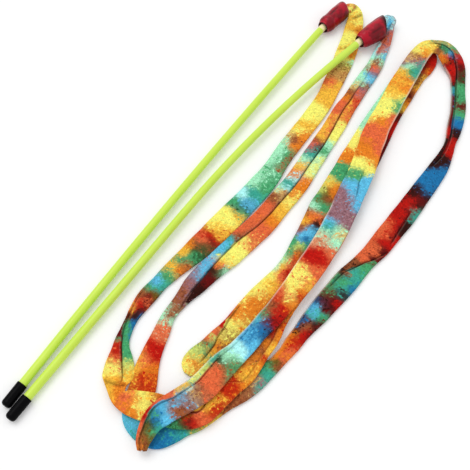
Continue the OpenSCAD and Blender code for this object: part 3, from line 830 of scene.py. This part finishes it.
# %% Slits
FIRST_SLITS = [
    (-20, 0, 0.8), (2, 0, 0.3), (10, 0, 0), (318, 0.9, 0), (345, 0.95, 0.5), (356, 0.9, 1), (363, 0.59, 1),
    (370, 0.02, 1), (378, -0.13, 1), (385, -0.16, 1), (393, -0.24, 0.9), (399, -0.34, 0.5), (402, -0.4, 0),
    (440, -0.6, 0), (450, -0.55, 0.9), (464, -0.4, 0.9), (474, -0.8, 0.6), (485, -1, 0), (500, 0.6, 0.4),
    (560, 0.5, 0.4), (590, 0.6, 0), (1108, 0.95, 0), (1120, 0.92, 0.9), (1126, 0.9, 1), (1133, 0.63, 1),
    (1141, 0.39, 1), (1145, 0.13, 1), (1150, -0.02, 0.9), (1159, -0.3, 0.6), (1165, -0.3, 0),
]
SECOND_SLITS = [
    (-20, 0, 0.8), (0, 0.3, 0.4), (24, 0.5, 0.2), (44, 0.5, 0.3), (65, 0.36, 0.35), (83, 0.06, 0.4),
    (97, 0.13, 0.6), (108, 0.08, 1), (132, 0.04, 1), (158, -0.2, 1), (180, -0.08, 1), (210, -0.04, 1),
    (231, 0, 1), (249, 0.12, 1), (269, 0.33, 1), (285, 0.24, 1), (304, -0.09, 1), (316, -0.2, 1),
    (325, -0.55, 1), (332, -0.97, 0.4), (336, -1, 0), (582, -0.9, 0), (590, -0.8, 0.6), (603, -0.69, 0.9),
    (610, -0.33, 1), (618, 0.11, 1), (624, 0.62, 1), (632, 0.94, 0.8), (637, 1, 0), (640, 0.8, 0),
    (645, 0.74, 0.9), (667, 0.4, 0.9), (675, 0.3, 0), (716, -0.9, 0), (724, -0.7, 0.8), (732, -0.5, 1),
    (748, -0.37, 1), (758, -0.38, 1), (770, -0.54, 1), (779, -0.6, 1), (789, -0.56, 1), (800, -0.47, 1),
    (813, -0.26, 1), (822, 0.05, 1), (831, 0.25, 1), (838, 0.5, 0.9), (845, 0.5, 0.9), (852, 0.5, 0.6),
    (858, 0.45, 0.2), (862, 0.4, 0), (990, -0.2, 0), (1010, -0.2, 0.5), (1019, -0.46, 0.5), (1030, -0.6, 0),
    (1140, 0.9, 0), (1160, 0.85, 0.4), (1187, 0.66, 0.6), (1202, 0.54, 0.7), (1209, 0.6, 0.7),
    (1222, 0.55, 0.8), (1229, 0.72, 0.9), (1234, 0.8, 0.9), (1238, 0.7, 0.9), (1246, 0.6, 0.8),
    (1253, 0.7, 0.5),
]
FIRST_FOLDS = [
    ((10, -6), (14, 3), 0.9), ((17, -7), (23, 2), 1), ((33, -7), (36, -2), 0.6), ((56, 0), (60, 7), 0.6),
    ((399, 9), (404, -6), 1),
]
print("slit points:", len(FIRST_SLITS), len(SECOND_SLITS), "folds:", len(FIRST_FOLDS))

# %% [markdown]
# A real strip isn't cut or rolled evenly. Each row below is a place in millimetres from the mouth,
# how many times as wide the strip is there as its route says, and how many millimetres it sits to
# the right of the route. On one rim of the second ribbon the cloth is rolled so that its bare cut
# edge shows as a pale line: from, to, and 1 for the right rim or -1 for the left.

# %% Fuller, narrower and bare stretches
FIRST_FULLER = [
    (0, 1, 0), (4, 0.9, 0.5), (12, 0.85, 0.8), (18, 0.98, 0.5), (25, 1.04, 0.4), (65, 1.04, 0.4), (80, 1, 0),
    (190, 1, 0), (205, 1.1, -0.9), (225, 1.16, -1.4), (275, 1.16, -1.4), (292, 1.1, -0.9), (308, 1, 0),
    (350, 1, 0), (364, 0.9, -1.2), (376, 0.94, -1.2), (385, 1.12, -1.2), (395, 1.3, -1.2), (402, 1.26, -0.8),
    (410, 1, 0), (740, 1, 0), (755, 0.9, 0), (772, 0.88, 0), (784, 0.78, 0.2), (797, 0.72, 0.4), (806, 1, 0),
    (1125, 1, 0), (1138, 1, 0.3), (1150, 1, 0.8), (1160, 1.1, 1.4), (1166, 1.2, 1.2), (1169, 1.15, 1),
    (1171, 0.95, 0.8), (1172.6, 0.5, 0.8),
]
SECOND_FULLER = [
    (0, 1, 0), (8, 1, 0), (13, 1.15, -0.8), (19, 0.92, 0.4), (50, 0.92, 0.6), (65, 1, 0), (499, 1, 0),
    (509, 0.8, 2), (520, 0.52, 4.8), (530, 0.53, 4.7), (537, 0.6, 3.8), (546, 0.62, 2.8),
    (555, 0.72, 1.9), (565, 0.83, 1.5), (574, 0.88, 0.9), (589, 0.93, 1), (604, 1, 0.4), (619, 1, 0),
    (814, 0.97, 0.4), (825, 1.25, 0), (832, 1.32, 0), (839, 1.3, 0), (845, 1.2, 0), (851, 0.94, 0),
    (856, 0.97, 0), (862, 1.02, -0.6), (874, 1.05, -1), (894, 1.04, -0.9), (908, 1, -0.4), (924, 1, 0),
    (1089, 1, 0), (1100, 0.97, -0.4), (1114, 0.93, -1), (1134, 0.91, -1.1), (1144, 0.83, -0.6),
    (1152, 0.8, -0.2), (1169, 0.78, 0.2), (1177, 0.85, 0.8), (1186, 0.95, 0.8), (1194, 1, 0.5), (1204, 1, 0),
]
SECOND_RIMS = [(509, 604, -1), (739, 832, -1), (856, 979, -1), (1029, 1219, 1)]
print("widest and narrowest:", *(f([row[1] for row in FIRST_FULLER + SECOND_FULLER]) for f in (max, min)))

# %% [markdown]
# The strip has no thickness yet. Solidify gives it the 0.8 mm of pile and backing, inwards, so that
# the outside keeps its place, and the cut rims get the backing's finish.

# %% Make, dye and dress the strips
PILE_THICK = 0.8 * MM


def give_wall(piece, thickness):
    """Solidify, inwards from the faces that are there."""
    wall = piece.modifiers.new("wall", "SOLIDIFY")
    wall.thickness = thickness
    wall.offset = -1
    return wall


def make_ribbon(name, root, worn, slits, fuller, dabs, seed, folds=(), rims=()):
    """One whole ribbon, from the points of its root and of the cloth that shows."""
    line, steps = smooth_line(root + worn)
    tied = np.array(root, float)[:, :3]
    root_mm = float(np.linalg.norm(np.diff(tied, axis=0), axis=1).sum())
    piece, *points = lay_strip(name, line, steps, root_mm, slits, folds, fuller, rims)
    dye_cloth(piece, *points, slits, dabs, seed)
    piece.data.materials.append(velour)
    piece.data.materials.append(backing)
    wall = give_wall(piece, PILE_THICK)
    wall.material_offset_rim = 1
    wall.use_quality_normals = True
    print(name, "mm long:", round(steps[-1] / MM), "points:", len(piece.data.vertices))
    return piece


first_ribbon = make_ribbon(
    "first_ribbon_velour", FIRST_ROOT, FIRST_WORN, FIRST_SLITS, FIRST_FULLER, FIRST_DABS, 1.5,
    folds=FIRST_FOLDS,
)
second_ribbon = make_ribbon(
    "second_ribbon_velour", SECOND_ROOT, SECOND_WORN, SECOND_SLITS, SECOND_FULLER, SECOND_DABS, 8.5,
    rims=SECOND_RIMS,
)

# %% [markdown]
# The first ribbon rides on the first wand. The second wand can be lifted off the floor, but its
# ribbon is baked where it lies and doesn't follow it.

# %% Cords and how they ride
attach(first_ribbon, "first_wand")
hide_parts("first_ribbon")
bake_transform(second_ribbon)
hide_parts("second_ribbon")
print("ribbons laid")

# %% [markdown]
# ## Rods and caps
#
# The rods are extruded plastic, lime right through and smooth. Just outside the sleeve each rod is
# bare and cream for a few millimetres: the finish measures how far a point lies along the rod's
# heading, and changes there. The caps are dipped soft vinyl, black and a little dull. The binding
# and the glue hardly show at the sleeve's mouth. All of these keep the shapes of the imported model
# and only get their finishes.

# %% Lime plastic
FIRST_NECK, FIRST_HEADING = (-22.8, 184.3, 6.2), math.radians(1.8)
SECOND_NECK, SECOND_HEADING = (11.8, 184.8, 8.7), math.radians(10.4)
BARE_NECK_MM, BARE_FADE, BARE_RAGGED = 4.2, 0.9 * MM, 0.6 * MM


def make_rod_plastic(name, neck, heading):
    """Lime plastic with a bare cream end where the rod goes into its sleeve."""
    plastic = Finish(name)
    cloud = plastic.grain(0.05, 2, 0.5)
    specks = plastic.grain(2.5, 1, 0.5)
    tint = plastic.mix("MIX", cloud, paint(200, 234, 70), paint(216, 244, 96))
    way = Vector((math.sin(heading), math.cos(heading), 0))
    dot_product = {"operation": "DOT_PRODUCT"}
    along = plastic.node("ShaderNodeVectorMath", dot_product, {0: plastic.place(), 1: way})[1]
    start = (Vector(neck) * MM).dot(way) - BARE_NECK_MM * MM
    bare = plastic.step(along + specks * BARE_RAGGED, start, start + BARE_FADE)
    return plastic.surface({
        "Base Color": plastic.mix("MIX", bare, tint, paint(255, 240, 186)),
        "Roughness": 0.24 + 0.12 * specks,
        "Specular IOR Level": 0.35,
        "Normal": plastic.bump(specks, 0.08, 0.05),
    })


first_plastic = make_rod_plastic("first lime rod", FIRST_NECK, FIRST_HEADING)
second_plastic = make_rod_plastic("second lime rod", SECOND_NECK, SECOND_HEADING)
print("finishes of the rods:", first_plastic.name, "and", second_plastic.name)

# %% Vinyl, thread and glue
def make_cap_vinyl():
    vinyl = Finish("black cap vinyl")
    pits = vinyl.grain(1.2, 3, 0.6)
    return vinyl.surface({
        "Base Color": vinyl.mix("MIX", pits, paint(3, 3, 4), paint(10, 10, 12)),
        "Roughness": 0.22 + 0.12 * pits,
        "Specular IOR Level": 0.04,
        "Normal": vinyl.bump(pits, 0.15, 0.08),
    })


def make_thread():
    thread = Finish("binding thread")
    turns = thread.node(
        "ShaderNodeTexWave", {"wave_type": "BANDS", "bands_direction": "Y"},
        {"Vector": thread.place(), "Scale": 0.35 / MM, "Distortion": 0.6, "Detail": 1},
    )[1]
    return thread.surface({
        "Base Color": thread.mix("MULTIPLY", (1 - turns) * 0.5, (0.86, 0.83, 0.74, 1), (0.55, 0.5, 0.42, 1)),
        "Roughness": 0.8,
        "Normal": thread.bump(turns, 0.5, 0.2),
    })


def make_glue():
    glue = Finish("set glue")
    cloud = glue.grain(0.6, 3, 0.6)
    return glue.surface({
        "Base Color": glue.mix("MIX", cloud, (0.7, 0.5, 0.2, 1), (0.85, 0.7, 0.4, 1)),
        "Roughness": 0.3 + 0.2 * cloud,
        "Normal": glue.bump(cloud, 0.3, 0.3),
    })


def dress(node, finish):
    """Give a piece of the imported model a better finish."""
    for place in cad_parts[node].material_slots:
        place.link = "OBJECT"
        place.material = finish


cap_vinyl, thread, glue = make_cap_vinyl(), make_thread(), make_glue()
for wand, plastic in (("first", first_plastic), ("second", second_plastic)):
    dress(wand + "_rod", plastic)
    dress(wand + "_handle_cap", cap_vinyl)
    dress(wand + "_binding", thread)
    dress(wand + "_glue_plug", glue)
    print("dressed the", wand, "wand")

# %% [markdown]
# ## The crimson sleeves
#
# A sleeve is a short tube of crimson plastic that was shrunk over the joint with heat, so it is
# tight at the rod, swells over the binding, and is dented and a little crooked. Its mouth isn't
# square to it: the far side reaches further than the near side. The same sleeve on the second wand
# is flared. The wall starts as one line of points from the rod to the mouth, which is spun round,
# dented, slanted, and only then laid on its axis. Its stations give the radius inside, and Solidify
# gives it its wall. The three directions right, up and along are a left-handed set, so laying the
# tube on them turns it inside out, and its faces are turned back.
#
# The rims, the creases and the side that faces the floor look nearly black on the real sleeve,
# because shade falls there. Here that shade is painted: each point keeps how much painted shade it
# has, and the finish reads that.

# %% Crimson plastic
def make_sleeve_plastic():
    shell = Finish("crimson sleeve plastic")
    cloud = shell.grain(0.12, 3, 0.6)
    fine = shell.grain(0.9, 2, 0.6)
    tint = shell.mix("MIX", shell.step(cloud, 0.42, 0.6), paint(184, 6, 38), paint(134, 4, 26))
    # Random brownish patches, a painted sheen on the crimson plastic.
    worn = shell.step(shell.grain(0.16, 2, 0.5), 0.56, 0.66)
    tint = shell.mix("MIX", worn * 0.35, tint, paint(140, 50, 44))
    # The colour is pulled towards near black as far as each point's painted shade goes.
    return shell.surface({
        "Base Color": shell.mix("MIX", shell.attribute("painted_sleeve_shade", NUMBER) * 0.92, tint, paint(16, 3, 6)),
        "Roughness": 0.22 + 0.2 * fine,
        "Specular IOR Level": 0.22,
        "Normal": shell.bump(cloud + 0.2 * fine, 0.35, 1),
    })


sleeve_plastic = make_sleeve_plastic()
print("nodes in the crimson plastic:", len(sleeve_plastic.node_tree.nodes))

# %% Shape a sleeve
SPUN_STEPS = 72
PROFILE_PARTS = 5
WALL = 0.7 * MM
SWELL, SWELL_ROUND_MM, SWELL_LONG_MM, SWELL_FROM = 0.25 * MM, 5, 7, 5
CREASE_HALF, CREASE_ENDS, CREASE_PAINTED_SHADE = 0.9 * MM, 0.12, 0.5 * MM
WAVES, WAVE_HIGH, WAVE_TURN, WAVE_FROM = 5, 0.35 * MM, 40, 0.7
# How far the painted shade reaches from the neck, and how strong it is on the side that faces the floor.
NECK_PAINTED_SHADE = 0.9 * MM
UNDER_ANGLE, FLOORWARD_PAINTED_SHADE, UNDER_POWER, UNDER_NECK = 345, 0.75, 1.5, 0.25
LOWEST = 0.05 * MM


def spin_tube(stations):
    """A tube round the Z axis, from its (along, radius) stations in millimetres."""
    bm = bmesh.new()
    profile = smooth_curve(np.array(stations, float), PROFILE_PARTS)
    line = [bm.verts.new((r * MM, 0, t * MM)) for t, r in profile]
    edges = [bm.edges.new(pair) for pair in zip(line, line[1:])]
    bmesh.ops.spin(
        bm, geom=line + edges, cent=(0, 0, 0), axis=(0, 0, 1), angle=math.tau, steps=SPUN_STEPS,
        use_merge=True,
    )
    bmesh.ops.remove_doubles(bm, verts=bm.verts, dist=0.001 * MM)
    bmesh.ops.recalc_face_normals(bm, faces=bm.faces)
    return bm


def crease_depth(around, share, radius, creases):
    """How deep the creases are at an angle and a share of the length."""
    depth = 0
    for angle, start, stop, deep in creases:
        off = ((around - angle + 180) % 360 - 180) * math.radians(1) * radius
        ends = clamp((share - start) / CREASE_ENDS) * clamp((stop - share) / CREASE_ENDS)
        depth += deep * MM * ends * ridge(off, CREASE_HALF)
    return depth


def make_sleeve(name, neck, mouth, stations, slant, lean, rim, creases, seed):
    """One sleeve; its slant, its lean, the width of its rim of painted shade and its creases' depths are in
    millimetres.
    """
    bm = spin_tube(stations)
    low, high = Vector(neck) * MM, Vector(mouth) * MM
    axis = (high - low).normalized()
    right = axis.cross(Vector((0, 0, 1))).normalized()
    up = right.cross(axis)
    length = stations[-1][0] * MM
    painted_sleeve_shade = []
    for v in bm.verts:
        x, y, t = v.co
        radius = math.hypot(x, y)
        around = math.degrees(math.atan2(y, x)) % 360
        share = t / length
        swell = noise.noise((x / MM / SWELL_ROUND_MM, y / MM / SWELL_ROUND_MM, t / MM / SWELL_LONG_MM + seed))
        groove = crease_depth(around, share, radius, creases)
        scale = 1 + (WALL + SWELL * swell * min(1, share * SWELL_FROM) - groove) / radius
        wave = WAVE_HIGH * math.sin(math.radians(around * WAVES + WAVE_TURN)) * max(0, share - WAVE_FROM)
        at = t - slant * MM * (x / radius) * share**2 + wave
        v.co = low + right * (x * scale - lean * MM * share) + up * (y * scale) + axis * at
        v.co.z = max(v.co.z, LOWEST)
        # Painted shade: darkest at the neck and in the mouth's rim, in the creases, and on the side that
        # faces the floor.
        facing_down = max(0, math.cos(math.radians(around - UNDER_ANGLE))) ** UNDER_POWER
        painted_sleeve_shade.append(max(
            1 - t / NECK_PAINTED_SHADE, clamp(2 - (length - t) / (rim * MM)), min(1, groove / CREASE_PAINTED_SHADE),
            FLOORWARD_PAINTED_SHADE * facing_down * min(1, UNDER_NECK + share),
        ))
    piece = make_piece(name, bm)
    write_value(piece, "painted_sleeve_shade", painted_sleeve_shade)
    give_wall(piece, WALL)
    piece.data.materials.append(sleeve_plastic)
    print(name, "points:", len(piece.data.vertices))
    return piece


print("a sleeve is spun in", SPUN_STEPS, "steps and its wall is", WALL / MM, "mm thick")


# %% [markdown]
# Each row of a sleeve is a place along it and the radius inside, in millimetres. Each crease is an
# angle round the sleeve, the shares of its length between which the crease runs, and its depth.

# %% The two sleeves
FIRST_SLEEVE = [
    (0, 4.1), (0.8, 4.5), (1.8, 4.7), (2.6, 5.3), (4.6, 6.2), (7, 6.4), (9.5, 6.1), (12, 6.2), (17, 6.6),
    (22, 6.7), (26.5, 6.5), (29, 6), (29.8, 5.5),
]
SECOND_SLEEVE = [
    (0, 4.1), (0.8, 4.6), (1.8, 4.9), (2.6, 5.5), (4.8, 6.4), (8, 6.8), (12, 7.4), (17, 8), (22, 8.3),
    (25.5, 8.2), (27.5, 8), (28.2, 7.8),
]
first_sleeve = make_sleeve(
    "first_sleeve_shell", FIRST_NECK, FIRST_MOUTH, FIRST_SLEEVE, 2.2, 0, 0.2,
    [(100, 0.28, 0.75, 0.35), (215, 0.2, 0.6, 0.3)], 3.1,
)
second_sleeve = make_sleeve(
    "second_sleeve_shell", SECOND_NECK, SECOND_MOUTH, SECOND_SLEEVE, 4.6, 0.9, 1.8,
    [(325, 0.35, 1.0, 0.6), (60, 0.3, 0.8, 0.35), (130, 0.5, 1.05, 0.4)], 7.7,
)
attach(first_sleeve, "first_wand")
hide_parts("first_sleeve")
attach(second_sleeve, "second_wand")
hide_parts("second_sleeve")

# %% [markdown]
# ## Floor and light
#
# The floor is white paper. Its own lit colour would come out a little grey, so a glow lifts it to
# white and the shadows stay. Only the camera, reflections and what is seen through something clear
# see that glow, so it doesn't light the wands. The light is a broad soft sun from the upper left of
# the picture and an even sky, which looks full white to the same three.

# %% Floor
FLOOR_GLOW = 0.12
FLOOR_DROP = 0.05 * MM
WHITE = (1, 1, 1, 1)


def only_seen(finish):
    """1 for the camera, for reflections and through clear things, and 0 for the light itself."""
    path = finish.node("ShaderNodeLightPath")
    return path[CAMERA_RAY].larger(path[GLOSSY_RAY]).larger(path[TRANSMISSION_RAY])


def make_paper():
    paper = Finish("white paper")
    lit = paper.node("ShaderNodeBsdfDiffuse", None, {"Color": (0.92, 0.92, 0.92, 1)})[0]
    strength = only_seen(paper) * FLOOR_GLOW
    glow = paper.node("ShaderNodeEmission", None, {"Color": WHITE, "Strength": strength})[0]
    both = paper.node("ShaderNodeAddShader", None, {0: lit, 1: glow})[0]
    paper.node("ShaderNodeOutputMaterial", None, {"Surface": both})
    return paper.owner


floor_mesh = bpy.data.meshes.new("floor")
bm = bmesh.new()
bmesh.ops.create_grid(bm, x_segments=1, y_segments=1, size=2)
bmesh.ops.translate(bm, verts=bm.verts, vec=(0, 0, -FLOOR_DROP))
bm.to_mesh(floor_mesh)
bm.free()
floor_mesh.materials.append(make_paper())
floor = put("floor", floor_mesh)
print("floor in metres:", [round(side, 1) for side in floor.dimensions])

# %% Light
SKY_STRENGTH = 0.76
sun_data = bpy.data.lights.new("soft sun", "SUN")
sun_data.energy = 0.85
sun_data.angle = math.radians(38)
sun = put("soft sun", sun_data)
sun.rotation_euler = Vector((0.45, -0.12, -1)).to_track_quat("-Z", "Y").to_euler()

room = Finish("white room", "worlds")
sky = room.node("ShaderNodeBackground", None, {"Color": WHITE, "Strength": SKY_STRENGTH})[0]
white = room.node("ShaderNodeBackground", None, {"Color": WHITE})[0]
choice = room.node("ShaderNodeMixShader", None, {0: only_seen(room), 1: sky, 2: white})[0]
room.node("ShaderNodeOutputWorld", None, {"Surface": choice})
bpy.context.scene.world = room.owner
print("sun and sky:", sun_data.energy, SKY_STRENGTH)
